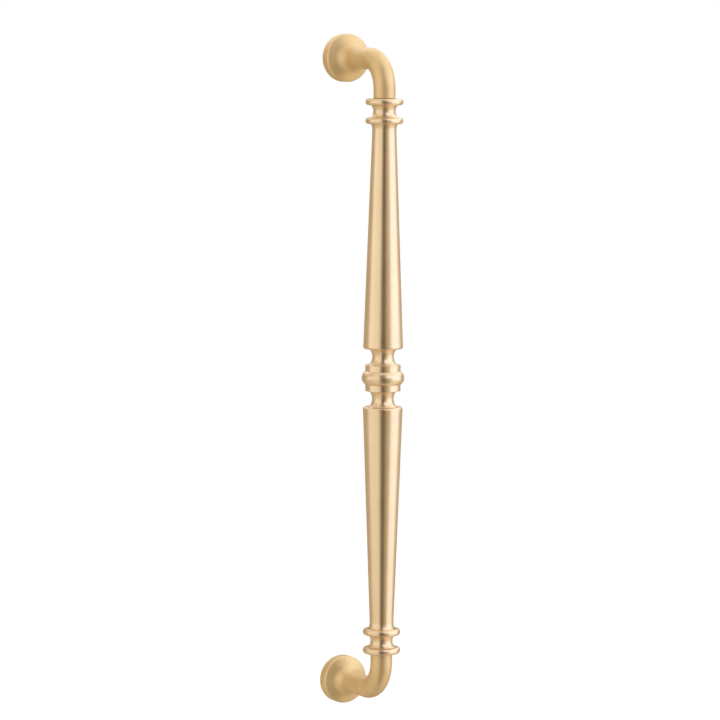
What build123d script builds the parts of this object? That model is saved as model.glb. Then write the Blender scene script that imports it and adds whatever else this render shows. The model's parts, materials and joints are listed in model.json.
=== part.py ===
from build123d import *
import os
from math import radians, tan

# A solid brass door pull: two cast elbows with flared roses hold a turned grip
# in three lengths, which studs join end to end.
#
# The door's face is the plane y = 0 and the pull stands out along -Y.
# Z runs up along the grip, and z = 0 is midway between the two fixings.

# Fixings and reach
fixing_centres = 450.0
projection = 61.0  # from the door to the middle of the grip

# Elbow
bar_diameter = 15.5
bend_radius = 21.5
bar_run = 6.3  # straight bar between the bend and the grip
rose_diameter = 34.4
rim_height = 7.3  # to the sharp corner that rim_rounding takes off
rim_rounding = 2.5
flare_angle = 34.0  # how far the rose's face rises from the door's plane
flare_rounding = 10.0

# Collar at each end of the grip: a ring, a cove and a second ring
ring_diameter = 26.6
ring_thickness = 4.6
ring_rounding = 2.0
cove_diameter = 15.7
cove_edge_diameter = 19.2
cove_width = 8.6

# Taper between the collar and the shoulder
taper_small_diameter = 17.0
taper_large_diameter = 28.3
taper_cove_width = 4.4
shoulder_rounding = 1.5

# Knop in the middle of the grip: neck, band, bead, band and neck
neck_diameter = 15.3
neck_edge_diameter = 19.8
neck_width = 11.3
band_diameter = 25.0
band_width = 4.5
bead_diameter = 30.2
bead_width = 9.6

# Threads, drawn plain at their nominal size, and the studs in them
thread_diameter = 8.0
thread_clearance = 0.0  # the flanks of a tight thread touch
stud_length = 22.0
stud_chamfer = 0.8
thread_run_out = 2.0  # how far a hole goes on past the end of its stud
fixing_depth = 20.0
drill_point_angle = 118.0
mouth_chamfer = 0.5
edge_break = 0.3

bar_radius = bar_diameter / 2
rose_radius = rose_diameter / 2
ring_radius = ring_diameter / 2
taper_large_radius = taper_large_diameter / 2
band_radius = band_diameter / 2
stud_radius = thread_diameter / 2
hole_radius = stud_radius + thread_clearance
stud_hole_depth = stud_length / 2 + thread_run_out

fixing_height = fixing_centres / 2
arm_length = projection - bend_radius
grip_half_length = fixing_height - bend_radius - bar_run
knop_half_length = bead_width / 2 + band_width + neck_width

grip_axis = Axis((0, -projection, 0), (0, 0, 1))
# Across is the radius and up is the height on the grip's profile.
grip_profile = Plane((0, -projection, 0), x_dir=(1, 0, 0), z_dir=(0, -1, 0))


def corners_at(sketch, radius):
    """The corners of a turned profile that lie at one radius."""
    return sketch.vertices().filter_by(lambda corner: abs(corner.X - radius) < 0.001)


def drill_tapped_hole(mouth, depth):
    """Drills a blind tapped hole; the mouth's plane faces out of the part being built."""
    point_height = hole_radius / tan(radians(drill_point_angle / 2))
    with Locations(mouth):
        CounterSinkHole(hole_radius, hole_radius + mouth_chamfer, depth, 90)
    below_mouth = (Align.CENTER, Align.CENTER, Align.MAX)
    with Locations(mouth.offset(-depth)):
        Cone(0, hole_radius, point_height, align=below_mouth, mode=Mode.SUBTRACT)


def grip_joint(height, direction):
    """The plane across the grip at a height, facing up for 1 and down for -1."""
    return Plane((0, -projection, height), x_dir=(1, 0, 0), z_dir=(0, 0, direction))


def write(piece, name):
    piece.part.label = name
    export_step(piece.part, f"parts/{name}.step")


# Elbow: rose, arm, bend and the short run that meets the grip, all one casting
rose_back = Plane((0, 0, fixing_height), x_dir=(1, 0, 0), z_dir=(0, 1, 0))
# Across is the radius and up is the way out from the door on the rose's profile.
rose_profile = Plane((0, 0, fixing_height), x_dir=(1, 0, 0), z_dir=(0, 0, -1))
flare_top = rim_height + (rose_radius - bar_radius) * tan(radians(flare_angle))

with BuildPart() as upper_elbow:
    with BuildSketch(rose_profile) as rose:
        with BuildLine():
            Polyline(
                (0, 0),
                (rose_radius, 0),
                (rose_radius, rim_height),
                (bar_radius, flare_top),
                (bar_radius, arm_length),
                (0, arm_length),
                close=True,
            )
        make_face()
        fillet(corners_at(rose, rose_radius).sort_by(Axis.Y)[-1], rim_rounding)
        fillet(corners_at(rose, rose_radius).sort_by(Axis.Y)[0], edge_break)
        fillet(corners_at(rose, bar_radius).sort_by(Axis.Y)[0], flare_rounding)
    revolve(axis=Axis((0, 0, fixing_height), (0, 1, 0)))
    with BuildLine(Plane.YZ) as bend_path:
        bend = CenterArc((-arm_length, fixing_height - bend_radius), bend_radius, 90, 90)
        Line(bend @ 1, (-projection, grip_half_length))
    with BuildSketch(rose_back.offset(-arm_length)):
        Circle(bar_radius)
    sweep(path=bend_path.line)
    chamfer(upper_elbow.faces().sort_by(Axis.Z)[0].edges(), edge_break)
    drill_tapped_hole(rose_back, fixing_depth)
    drill_tapped_hole(grip_joint(grip_half_length, -1), stud_hole_depth)

# The lower elbow is the same casting turned over.
with BuildPart() as lower_elbow:
    mirror(upper_elbow.part, about=Plane.XY)

# Grip half: collar and taper, turned in one
outer_ring_low = grip_half_length - ring_thickness
inner_ring_high = outer_ring_low - cove_width
inner_ring_low = inner_ring_high - ring_thickness
taper_top = inner_ring_low - taper_cove_width

with BuildPart() as upper_grip:
    with BuildSketch(grip_profile) as collar_and_taper:
        with BuildLine():
            taper = Line((taper_large_radius, knop_half_length), (taper_small_diameter / 2, taper_top))
            TangentArc(taper @ 1, (cove_edge_diameter / 2, inner_ring_low), tangent=taper % 1)
            Polyline(
                (cove_edge_diameter / 2, inner_ring_low),
                (ring_radius, inner_ring_low),
                (ring_radius, inner_ring_high),
                (cove_edge_diameter / 2, inner_ring_high),
            )
            ThreePointArc(
                (cove_edge_diameter / 2, inner_ring_high),
                (cove_diameter / 2, inner_ring_high + cove_width / 2),
                (cove_edge_diameter / 2, outer_ring_low),
            )
            Polyline(
                (cove_edge_diameter / 2, outer_ring_low),
                (ring_radius, outer_ring_low),
                (ring_radius, grip_half_length),
                (0, grip_half_length),
                (0, knop_half_length),
                (taper_large_radius, knop_half_length),
            )
        make_face()
        fillet(corners_at(collar_and_taper, ring_radius), ring_rounding)
        fillet(corners_at(collar_and_taper, taper_large_radius), shoulder_rounding)
    revolve(axis=grip_axis)
    drill_tapped_hole(grip_joint(grip_half_length, 1), stud_hole_depth)
    drill_tapped_hole(grip_joint(knop_half_length, -1), stud_hole_depth)

# The lower grip is the same turning the other way up.
with BuildPart() as lower_grip:
    mirror(upper_grip.part, about=Plane.XY)

# Knop: half of its outline is drawn and mirrored
neck_low = knop_half_length - neck_width

with BuildPart() as centre_knop:
    with BuildSketch(grip_profile) as knop:
        with BuildLine():
            Line((0, knop_half_length), (neck_edge_diameter / 2, knop_half_length))
            ThreePointArc(
                (neck_edge_diameter / 2, knop_half_length),
                (neck_diameter / 2, neck_low + neck_width / 2),
                (neck_edge_diameter / 2, neck_low),
            )
            Polyline(
                (neck_edge_diameter / 2, neck_low),
                (band_radius, neck_low),
                (band_radius, bead_width / 2),
            )
            mirror(about=Plane.XZ)
            ThreePointArc(
                (band_radius, bead_width / 2),
                (bead_diameter / 2, 0),
                (band_radius, -bead_width / 2),
            )
            Line((0, knop_half_length), (0, -knop_half_length))
        make_face()
        fillet(corners_at(knop, band_radius).sort_by(Axis.Y)[0], edge_break)
        fillet(corners_at(knop, band_radius).sort_by(Axis.Y)[-1], edge_break)
    revolve(axis=grip_axis)
    for direction in (1, -1):
        drill_tapped_hole(grip_joint(direction * knop_half_length, direction), stud_hole_depth)

os.makedirs("parts", exist_ok=True)
write(upper_elbow, "upper_elbow")
write(lower_elbow, "lower_elbow")
write(upper_grip, "upper_grip")
write(lower_grip, "lower_grip")
write(centre_knop, "centre_knop")

# Studs: half of each is in the piece above its joint and half in the one below
stud_heights = {
    "upper_elbow_stud": grip_half_length,
    "upper_knop_stud": knop_half_length,
    "lower_knop_stud": -knop_half_length,
    "lower_elbow_stud": -grip_half_length,
}
for name, height in stud_heights.items():
    with BuildPart() as stud:
        with Locations((0, -projection, height)):
            Cylinder(stud_radius, stud_length)
        chamfer(stud.edges().filter_by(GeomType.CIRCLE), stud_chamfer)
    write(stud, name)
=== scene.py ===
import json
from math import cos, pi, radians, sin

import bpy
from mathutils import Matrix, Vector

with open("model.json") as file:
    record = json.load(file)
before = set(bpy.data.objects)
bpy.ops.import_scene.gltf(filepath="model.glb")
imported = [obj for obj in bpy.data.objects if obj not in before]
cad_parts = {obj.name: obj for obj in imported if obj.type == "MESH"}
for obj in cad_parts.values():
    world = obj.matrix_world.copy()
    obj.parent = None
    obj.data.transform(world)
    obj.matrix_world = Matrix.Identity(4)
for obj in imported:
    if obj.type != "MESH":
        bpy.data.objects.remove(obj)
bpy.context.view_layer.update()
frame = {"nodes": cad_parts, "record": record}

# Camera, set by the photograph's outline. Azimuth 0 looks along +Y.
CAMERA_AZIMUTH = -28.26
CAMERA_ELEVATION = 5.53
CAMERA_DISTANCE = 2.7
CAMERA_AIM = (0.0, -0.0269, 0.0097)
CAMERA_ROLL = 0.29
CAMERA_LENS = 186.9
SENSOR_WIDTH = 36.0

# The middle line of the grip stands this far in front of the door's face.
GRIP_AXIS_Y = -0.061

# Floor
FLOOR_HEIGHT = -1.05
FLOOR_RADIUS = 7.0
FLOOR_SIDES = 64

# Cards round the object. Each is this far from the line that runs up through the object.
CARD_DISTANCE = 3.6
ROOF_DISTANCE = 3.5  # of the dark roof, just inside the other cards
FLAG_DISTANCE = 0.5  # of the low flag, close behind the object
CARD_STEPS = 12  # flat strips along a card's curve

# Heights that the cards share
CARD_TOP = 5.5
CARD_ROOF = 6.0  # the top of a card that also leans in over the object
CARD_EAVES = 3.0  # how near a leaning card comes to the line above the object
CARD_FLOOR = FLOOR_HEIGHT + 0.01  # the foot of a card that also lies on the floor
CARD_SKIRT = FLOOR_HEIGHT + 0.03  # the top of a card that only lies on the floor
CARD_TOE = 0.3  # how near a card on the floor runs in to the object's foot
LEFT_FOOT = FLOOR_HEIGHT + 0.2  # the foot of the cards that stand on the left
LEFT_SKIRT = FLOOR_HEIGHT + 0.19  # the top of the floor cards' upturned edge on the left
CARD_WAIST = 1.3  # where the low cards end and the upper ones begin
BACK_WAIST = 1.2  # the same behind the object
COOL_TOP = 3.0  # where the cool card ends and the dim one above it begins


def back_of(azimuth, elevation):
    """The direction from the object back to a camera at these angles in degrees."""
    a, e = radians(azimuth), radians(elevation)
    return Vector((sin(a) * cos(e), -cos(a) * cos(e), sin(e)))


def place_camera():
    place = back_of(CAMERA_AZIMUTH, CAMERA_ELEVATION) * CAMERA_DISTANCE
    back = (place - Vector(CAMERA_AIM)).normalized()
    level = Vector((0, 0, 1)).cross(back).normalized()
    upright = back.cross(level)
    roll = radians(CAMERA_ROLL)
    right = level * cos(roll) + upright * sin(roll)
    up = back.cross(right)
    lens = bpy.data.cameras.new("camera")
    lens.lens = CAMERA_LENS
    lens.sensor_width = SENSOR_WIDTH
    camera = bpy.data.objects.new("camera", lens)
    turn = Matrix((right, up, back)).transposed()
    camera.matrix_world = Matrix.Translation(place) @ turn.to_4x4()
    bpy.context.collection.objects.link(camera)
    bpy.context.scene.camera = camera


# Small parts of a shader tree


def feed(tree, socket, operand):
    """Links a socket to another, or gives it a plain value."""
    if isinstance(operand, bpy.types.NodeSocket):
        tree.links.new(operand, socket)
    elif operand is not None:
        socket.default_value = operand


def reckon(tree, operation, first, second=None):
    """A Math node's result; each operand is a socket or a number."""
    node = tree.nodes.new("ShaderNodeMath")
    node.operation = operation
    for socket, operand in zip(node.inputs, (first, second)):
        feed(tree, socket, operand)
    return node.outputs["Value"]


def vector_of(tree, x=0.0, y=0.0, z=0.0):
    node = tree.nodes.new("ShaderNodeCombineXYZ")
    for socket, operand in zip(node.inputs, (x, y, z)):
        feed(tree, socket, operand)
    return node.outputs["Vector"]


def noise(tree, vector, scale, detail, roughness=0.5):
    node = tree.nodes.new("ShaderNodeTexNoise")
    node.inputs["Detail"].default_value = detail
    node.inputs["Roughness"].default_value = roughness
    feed(tree, node.inputs["Vector"], vector)
    feed(tree, node.inputs["Scale"], scale)
    return node.outputs["Fac"]


def spread(tree, value, low, high, new_low, new_high):
    """Maps a value from one range to another with a soft ramp."""
    node = tree.nodes.new("ShaderNodeMapRange")
    node.interpolation_type = "SMOOTHSTEP"
    for socket, operand in zip(node.inputs, (value, low, high, new_low, new_high)):
        feed(tree, socket, operand)
    return node.outputs["Result"]


def blend_colors(tree, share, first, second):
    node = tree.nodes.new("ShaderNodeMix")
    node.data_type = "RGBA"
    feed(tree, node.inputs["Factor"], share)
    feed(tree, node.inputs["A"], first)
    feed(tree, node.inputs["B"], second)
    return node.outputs["Result"]


def object_position(tree):
    return tree.nodes.new("ShaderNodeTexCoord").outputs["Object"]


# Shader node groups that the metals share


def new_group(name, inputs, outputs):
    """A node group with inputs {name: plain value} and outputs {name: socket type}."""
    group = bpy.data.node_groups.new(name, "ShaderNodeTree")
    for label, plain in inputs.items():
        kind = "NodeSocketFloat" if isinstance(plain, float) else "NodeSocketColor"
        socket = group.interface.new_socket(name=label, in_out="INPUT", socket_type=kind)
        socket.default_value = plain
    for label, kind in outputs.items():
        group.interface.new_socket(name=label, in_out="OUTPUT", socket_type=kind)
    given = group.nodes.new("NodeGroupInput").outputs
    result = group.nodes.new("NodeGroupOutput").inputs
    return group, given, result


def turning_marks_group():
    """Rings that the lathe tool leaves round the grip's axis: each cut, and its bands of pressure."""
    tree, given, result = new_group(
        "turning marks",
        {"Axis Y": GRIP_AXIS_Y, "Spacing": 0.0002, "Breaks Per Metre": 70.0},
        {"Marks": "NodeSocketFloat", "Bands": "NodeSocketFloat"},
    )
    place = tree.nodes.new("ShaderNodeSeparateXYZ")
    tree.links.new(object_position(tree), place.inputs["Vector"])
    x, z = place.outputs["X"], place.outputs["Z"]
    y = reckon(tree, "SUBTRACT", place.outputs["Y"], given["Axis Y"])
    square = reckon(tree, "ADD", reckon(tree, "MULTIPLY", x, x), reckon(tree, "MULTIPLY", y, y))
    # The tool runs along the grip on its sides and towards the axis on its shoulders.
    shoulder_feed = 1.3
    toward_axis = reckon(tree, "MULTIPLY", reckon(tree, "SQRT", square), shoulder_feed)
    cut = reckon(tree, "DIVIDE", reckon(tree, "ADD", z, toward_axis), given["Spacing"])
    broken_x = reckon(tree, "MULTIPLY", x, given["Breaks Per Metre"])
    broken_y = reckon(tree, "MULTIPLY", y, given["Breaks Per Metre"])
    marks = noise(tree, vector_of(tree, broken_x, broken_y, cut), scale=1.0, detail=2.0)
    bands = noise(tree, vector_of(tree, z=cut), scale=0.12, detail=3.0)
    tree.links.new(marks, result["Marks"])
    tree.links.new(bands, result["Bands"])
    return tree


def satin_grain_group():
    """The even grain of a blasted and brushed face, alike in every direction."""
    tree, given, result = new_group(
        "satin grain",
        {"Grains Per Metre": 3000.0},
        {"Grain": "NodeSocketFloat"},
    )
    place = object_position(tree)
    grain = noise(tree, place, given["Grains Per Metre"], detail=3.0, roughness=0.6)
    tree.links.new(grain, result["Grain"])
    return tree


def hand_rub_group():
    """Soft clouds, where hands and cloths have rubbed the finish brighter or duller."""
    tree, given, result = new_group(
        "hand rub",
        {"Clouds Per Metre": 40.0, "Contrast": 0.3},
        {"Rub": "NodeSocketFloat"},
    )
    place = object_position(tree)
    cloud = noise(tree, place, given["Clouds Per Metre"], detail=4.0, roughness=0.55)
    reach = reckon(tree, "DIVIDE", given["Contrast"], 2.0)
    low = reckon(tree, "SUBTRACT", 0.5, reach)
    high = reckon(tree, "ADD", 0.5, reach)
    tree.links.new(spread(tree, cloud, low, high, 0.0, 1.0), result["Rub"])
    return tree


def brass_tone_and_recess_shade_group():
    """Brass that shifts a little in tone, with painted shade: it deepens to orange-brown in coves and
    joints.
    """
    tree, given, result = new_group(
        "brass tone and painted recess shade",
        {
            "Brass": (0.86, 0.68, 0.44, 1.0),
            "Rubbed Brass": (0.88, 0.70, 0.46, 1.0),
            # Recess: the colour of the painted shade in coves and joints
            "Recess": (0.60, 0.37, 0.14, 1.0),
            "Rub": 0.5,
            "Recess Reach": 0.004,
            "Recess Strength": 0.6,
        },
        {"Color": "NodeSocketColor"},
    )
    open_tone = blend_colors(tree, given["Rub"], given["Brass"], given["Rubbed Brass"])
    # Painted shade: an ambient occlusion mask darkens the brass towards the Recess colour in coves
    # and joints.
    shelter = tree.nodes.new("ShaderNodeAmbientOcclusion")
    shelter.samples = 12
    tree.links.new(given["Recess Reach"], shelter.inputs["Distance"])
    nearly_open, deep = 0.9, 0.4
    openness = shelter.outputs["AO"]
    painted_recess_shade = spread(tree, openness, nearly_open, deep, 0.0, given["Recess Strength"])
    tree.links.new(blend_colors(tree, painted_recess_shade, open_tone, given["Recess"]), result["Color"])
    return tree


turning_marks = turning_marks_group()
satin_grain = satin_grain_group()
hand_rub = hand_rub_group()
brass_tone_and_recess_shade = brass_tone_and_recess_shade_group()


# Metals


def place_group(tree, group, **values):
    """A group's outputs in a material; an underscore in a keyword is a space in the input's name."""
    node = tree.nodes.new("ShaderNodeGroup")
    node.node_tree = group
    for keyword, value in values.items():
        feed(tree, node.inputs[keyword.replace("_", " ")], value)
    return node.outputs


def new_metal(name):
    material = bpy.data.materials.new(name)
    material.use_nodes = True
    shader = material.node_tree.nodes["Principled BSDF"]
    shader.inputs["Metallic"].default_value = 1.0
    return material, material.node_tree, shader.inputs


def satin(tree, texture, smoothest, roughest):
    """The roughness of a face, from a texture that mostly lies between 0.3 and 0.7."""
    return spread(tree, texture, 0.3, 0.7, smoothest, roughest)


def relief(tree, height, depth, strength):
    """The normal of a face bumped by a height field that is depth metres deep."""
    bump = tree.nodes.new("ShaderNodeBump")
    bump.inputs["Strength"].default_value = strength
    bump.inputs["Distance"].default_value = depth
    feed(tree, bump.inputs["Height"], height)
    return bump.outputs["Normal"]


def turned_brass():
    """The grip and the knop: a fine satin left by turning, crisp enough to show soft stripes."""
    material, tree, shader = new_metal("turned satin brass")
    rub = place_group(tree, hand_rub, Clouds_Per_Metre=45.0, Contrast=0.4)["Rub"]
    marks = place_group(tree, turning_marks, Spacing=0.00022, Breaks_Per_Metre=70.0)
    tone = place_group(
        tree,
        brass_tone_and_recess_shade,
        Brass=(0.85, 0.65, 0.41, 1.0),
        Rubbed_Brass=(0.88, 0.685, 0.44, 1.0),
        # Recess, its reach and strength: the painted shade in the coves and joints
        Recess=(0.64, 0.36, 0.10, 1.0),
        Rub=rub,
        Recess_Reach=0.005,
        Recess_Strength=1.0,
    )
    tool_satin = satin(tree, marks["Bands"], smoothest=0.30, roughest=0.33)
    dulled = reckon(tree, "ADD", tool_satin, reckon(tree, "MULTIPLY", rub, 0.02))
    feed(tree, shader["Base Color"], tone["Color"])
    feed(tree, shader["Roughness"], dulled)
    feed(tree, shader["Normal"], relief(tree, marks["Marks"], depth=0.00001, strength=0.15))
    return material


def cast_brass():
    """The elbows and their roses: a yellower, softer satin with a fine even grain."""
    material, tree, shader = new_metal("cast satin brass")
    rub = place_group(tree, hand_rub, Clouds_Per_Metre=90.0, Contrast=0.35)["Rub"]
    grain = place_group(tree, satin_grain, Grains_Per_Metre=3200.0)["Grain"]
    tone = place_group(
        tree,
        brass_tone_and_recess_shade,
        Brass=(0.80, 0.59, 0.30, 1.0),
        Rubbed_Brass=(0.84, 0.63, 0.34, 1.0),
        # Recess, its reach and strength: the painted shade in the coves and joints
        Recess=(0.60, 0.38, 0.15, 1.0),
        Rub=rub,
        Recess_Reach=0.001,
        Recess_Strength=0.4,
    )
    grain_satin = satin(tree, grain, smoothest=0.48, roughest=0.54)
    dulled = reckon(tree, "ADD", grain_satin, reckon(tree, "MULTIPLY", rub, 0.03))
    feed(tree, shader["Base Color"], tone["Color"])
    feed(tree, shader["Roughness"], dulled)
    feed(tree, shader["Normal"], relief(tree, grain, depth=0.00002, strength=0.2))
    return material


def stud_steel():
    """Plain bright steel, hidden in the joints."""
    material, tree, shader = new_metal("stud steel")
    grain = place_group(tree, satin_grain, Grains_Per_Metre=4000.0)["Grain"]
    steel = blend_colors(tree, grain, (0.50, 0.51, 0.53, 1.0), (0.60, 0.61, 0.63, 1.0))
    feed(tree, shader["Base Color"], steel)
    feed(tree, shader["Roughness"], satin(tree, grain, smoothest=0.30, roughest=0.42))
    feed(tree, shader["Normal"], relief(tree, grain, depth=0.00002, strength=0.3))
    return material


finishes = {"cast_brass": cast_brass(), "turned_brass": turned_brass(), "stud_steel": stud_steel()}
for part in frame["record"]["subparts"]:
    slots = frame["nodes"][part["node"]].data.materials
    slots.clear()
    slots.append(finishes[part["material_slot"]])


# Studio: white surroundings, a soft box, and cards that only the metal's reflections see


def glow(name, color, strength):
    material = bpy.data.materials.new(name)
    material.use_nodes = True
    tree = material.node_tree
    tree.nodes.clear()
    light = tree.nodes.new("ShaderNodeEmission")
    light.inputs["Color"].default_value = (*color, 1.0)
    light.inputs["Strength"].default_value = strength
    out = tree.nodes.new("ShaderNodeOutputMaterial")
    tree.links.new(light.outputs["Emission"], out.inputs["Surface"])
    return material


def studio_card(name, start, end, bottom, top, color, strength, distance=CARD_DISTANCE):
    """A curved card that stands round the object between two azimuths, in degrees right of the
    camera. One whose foot is CARD_FLOOR also lies on the floor, in to the object's foot, and one
    whose top is CARD_ROOF also leans in over the object."""
    profile = [(distance, bottom), (distance, top)]
    if bottom == CARD_FLOOR:
        profile.insert(0, (CARD_TOE, CARD_FLOOR))
    if top == CARD_ROOF:
        profile.append((CARD_EAVES, CARD_ROOF))
    rows = len(profile)
    corners = []
    for step in range(CARD_STEPS + 1):
        azimuth = CAMERA_AZIMUTH + start + (end - start) * step / CARD_STEPS
        toward = back_of(azimuth, 0)
        corners += [(toward.x * reach, toward.y * reach, height) for reach, height in profile]
    faces = []
    for step in range(CARD_STEPS):
        for row in range(step * rows, step * rows + rows - 1):
            faces.append((row, row + rows, row + rows + 1, row + 1))
    mesh = bpy.data.meshes.new(name)
    mesh.from_pydata(corners, [], faces)
    mesh.materials.append(glow(name, color, strength))
    card = bpy.data.objects.new(name, mesh)
    bpy.context.collection.objects.link(card)
    card.visible_camera = False
    card.visible_diffuse = False
    card.visible_transmission = False
    card.visible_shadow = False


def white_surroundings():
    """A white world for camera, metal and glass, and a softer one for dull surfaces."""
    world = bpy.data.worlds.new("white studio")
    world.use_nodes = True
    tree = world.node_tree
    ray = tree.nodes.new("ShaderNodeLightPath").outputs
    clear = reckon(tree, "MAXIMUM", ray["Is Glossy Ray"], ray["Is Transmission Ray"])
    seen = reckon(tree, "MAXIMUM", ray["Is Camera Ray"], clear)
    background = tree.nodes["Background"].inputs
    background["Color"].default_value = (1.0, 1.0, 1.0, 1.0)
    soft, white = 0.6, 1.0
    feed(tree, background["Strength"], spread(tree, seen, 0.0, 1.0, soft, white))
    bpy.context.scene.world = world


def pale_floor():
    """A round pale floor, which looks white to the camera where no shadow falls."""
    angles = [2 * pi * side / FLOOR_SIDES for side in range(FLOOR_SIDES)]
    rim = [(FLOOR_RADIUS * cos(angle), FLOOR_RADIUS * sin(angle), FLOOR_HEIGHT) for angle in angles]
    mesh = bpy.data.meshes.new("floor")
    mesh.from_pydata(rim, [], [tuple(range(FLOOR_SIDES))])
    floor = bpy.data.objects.new("floor", mesh)
    bpy.context.collection.objects.link(floor)
    material = bpy.data.materials.new("pale floor")
    material.use_nodes = True
    tree = material.node_tree
    paint = tree.nodes["Principled BSDF"].inputs
    paint["Base Color"].default_value = (0.86, 0.86, 0.86, 1.0)
    paint["Roughness"].default_value = 0.9
    paint["Emission Color"].default_value = (1.0, 1.0, 1.0, 1.0)
    ray = tree.nodes.new("ShaderNodeLightPath").outputs
    lift = 0.5
    feed(tree, paint["Emission Strength"], reckon(tree, "MULTIPLY", ray["Is Camera Ray"], lift))
    mesh.materials.append(material)


def soft_box(name, azimuth, elevation, distance, width, height, radiance):
    """A rectangular soft light that faces the object; radiance 1 looks plain white."""
    light = bpy.data.lights.new(name, "AREA")
    light.shape = "RECTANGLE"
    light.size = width
    light.size_y = height
    light.energy = radiance * width * height * pi
    lamp = bpy.data.objects.new(name, light)
    lamp.location = back_of(azimuth, elevation) * distance
    lamp.rotation_euler = lamp.location.to_track_quat("Z", "Y").to_euler()
    bpy.context.collection.objects.link(lamp)


place_camera()
white_surroundings()
pale_floor()
soft_box(
    "overhead soft box",
    azimuth=CAMERA_AZIMUTH + 88,
    elevation=58,
    distance=3.2,
    width=2.2,
    height=2.0,
    radiance=0.3,
)

# Colours that more than one card has
WARM = (1.0, 0.86, 0.62)
AMBER = (1.0, 0.86, 0.66)
GOLDEN = (1.0, 0.88, 0.70)
PALE_GOLD = (1.0, 0.92, 0.80)

# Behind the camera: the dark stripe that runs down the grip
studio_card("dark card", -15, 15.5, CARD_SKIRT, CARD_ROOF, (1.0, 0.45, 0.15), 0.04)
studio_card("dark roof", -27, 29, 3.2, CARD_ROOF, (1.0, 0.55, 0.25), 0.06, ROOF_DISTANCE)
studio_card("brown floor card", -15, 17, CARD_FLOOR, CARD_SKIRT, (1.0, 0.80, 0.50), 0.12)

# To the camera's right: a warm band, and then the brightest one
studio_card("warm floor card", 17, 46, CARD_FLOOR, CARD_SKIRT, WARM, 0.38)
studio_card("warm card", 15.5, 46, CARD_SKIRT, CARD_WAIST, WARM, 0.55)
studio_card("upper card right", 15.5, 46, CARD_WAIST, CARD_TOP, (0.98, 1.0, 1.12), 1.6)
studio_card("cool card right", 46, 104, CARD_SKIRT, COOL_TOP, (0.96, 1.0, 1.20), 1.45)
studio_card("dim card upper right", 46, 116, COOL_TOP, CARD_ROOF, PALE_GOLD, 0.8)
studio_card("golden floor card right", 46, 116, CARD_FLOOR, CARD_SKIRT, PALE_GOLD, 1.0)

# To the camera's left: the broad light side of the grip
studio_card("bright card left", -93, -62, LEFT_FOOT, CARD_WAIST, (1.0, 1.0, 1.0), 1.14)
studio_card("dim card upper left", -135, -62, CARD_WAIST, CARD_ROOF, (1.0, 0.90, 0.74), 0.8)
studio_card("white card left", -62, -15, LEFT_FOOT, CARD_TOP, (1.0, 0.97, 0.92), 1.02)
studio_card("pale floor card left", -62, -15, CARD_FLOOR, LEFT_SKIRT, (1.0, 0.93, 0.82), 0.85)
studio_card("golden floor card left", -93, -62, CARD_FLOOR, LEFT_SKIRT, GOLDEN, 0.7)

# Behind the object: the darker edges of the grip and the arms
studio_card("golden floor card behind", -146, -93, CARD_FLOOR, CARD_SKIRT, GOLDEN, 0.7)
studio_card("upper card behind", 104, 225, BACK_WAIST, CARD_ROOF, (0.97, 1.0, 1.12), 1.35)
studio_card("rim card left", -146, -93, CARD_SKIRT, CARD_WAIST, AMBER, 0.52)
studio_card("low flag behind", -200, -112, -0.35, 0.2, AMBER, 0.52, FLAG_DISTANCE)
studio_card("brown card right", 116, 180, CARD_FLOOR, BACK_WAIST, (1.0, 0.86, 0.68), 0.56)
studio_card("brown card left", -180, -146, CARD_FLOOR, BACK_WAIST, (1.0, 0.85, 0.68), 0.46)

bpy.context.scene.view_settings.view_transform = "Standard"
